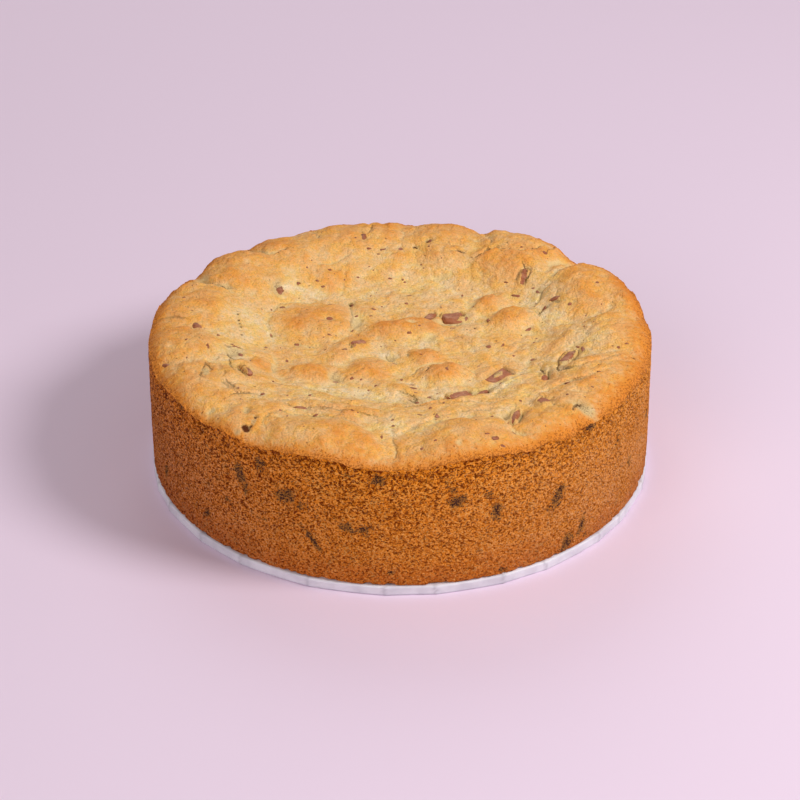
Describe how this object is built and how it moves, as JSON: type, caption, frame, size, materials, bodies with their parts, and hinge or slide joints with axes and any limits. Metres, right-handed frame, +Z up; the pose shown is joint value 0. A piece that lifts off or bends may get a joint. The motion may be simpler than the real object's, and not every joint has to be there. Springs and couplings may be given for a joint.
{
  "type": "cookie pie",
  "caption": "Deep round chocolate chunk cookie pie with a dished, puffy rimmed top and a straight crumb side, on a thin round paper-wrapped cake board.",
  "frame": {"origin": "centre of the cake board's underside, on the surface that it stands on", "axes": "+Z up, -Y towards the viewer of the picture, +X to the viewer's right"},
  "size_m": [0.2026, 0.2026, 0.0641],
  "materials": {
    "baked_dough": "matt golden crumb and crust",
    "white_paper": "white embossed paper, slightly glossy",
    "milk_chocolate": "matt broken milk chocolate"
  },
  "bodies": {
    "root": {"cookie": "baked_dough", "cake_board": "white_paper", "chunk_centre": "milk_chocolate", "chunk_centre_small": "milk_chocolate", "chunk_front_long": "milk_chocolate", "chunk_front_short": "milk_chocolate", "chunk_ring": "milk_chocolate", "chunk_pocket": "milk_chocolate", "chunk_edge_right": "milk_chocolate", "chunk_back_sliver": "milk_chocolate", "chunk_lobe_front": "milk_chocolate", "chunk_lobe_upright": "milk_chocolate", "chunk_left_corner": "milk_chocolate", "chunk_ridge": "milk_chocolate"}
  },
  "joints": []
}
